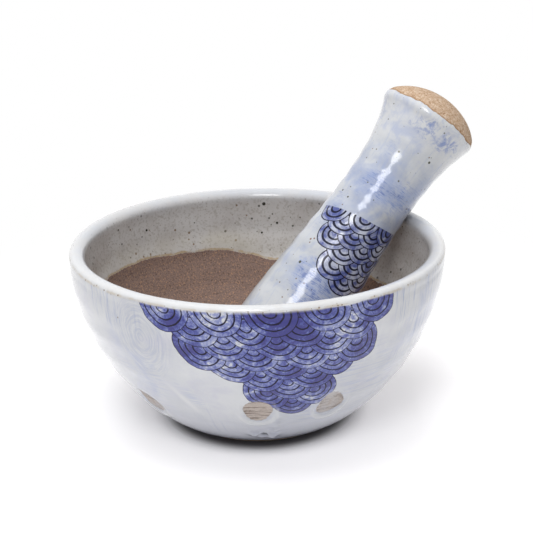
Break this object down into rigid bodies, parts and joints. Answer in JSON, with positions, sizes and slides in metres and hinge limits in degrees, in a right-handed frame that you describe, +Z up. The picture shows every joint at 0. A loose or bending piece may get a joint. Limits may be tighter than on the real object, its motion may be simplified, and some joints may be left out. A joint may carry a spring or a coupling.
{
  "type": "mortar and pestle",
  "caption": "Hand-thrown glazed stoneware mortar, a deep round bowl with a bare grinding well, and a waisted pestle with a flared grip leaning in it.",
  "frame": {"origin": "middle of the bowl's flat foot, on the surface that the mortar stands on", "axes": "+Z up along the bowl's axis; +X to the right, towards the side that the pestle leans to; +Y away from the viewer"},
  "size_m": [0.1656, 0.15, 0.127],
  "materials": {
    "bowl_glaze": "gloss",
    "pestle_glaze": "gloss"
  },
  "bodies": {
    "mortar": {"mortar_bowl": "bowl_glaze"},
    "pestle": {"pestle": "pestle_glaze"}
  },
  "joints": [
    {"name": "lift_out", "type": "slide", "parent": "mortar", "child": "pestle", "axis": [0, 0, 1], "range_m": [0, 0.09]}
  ]
}
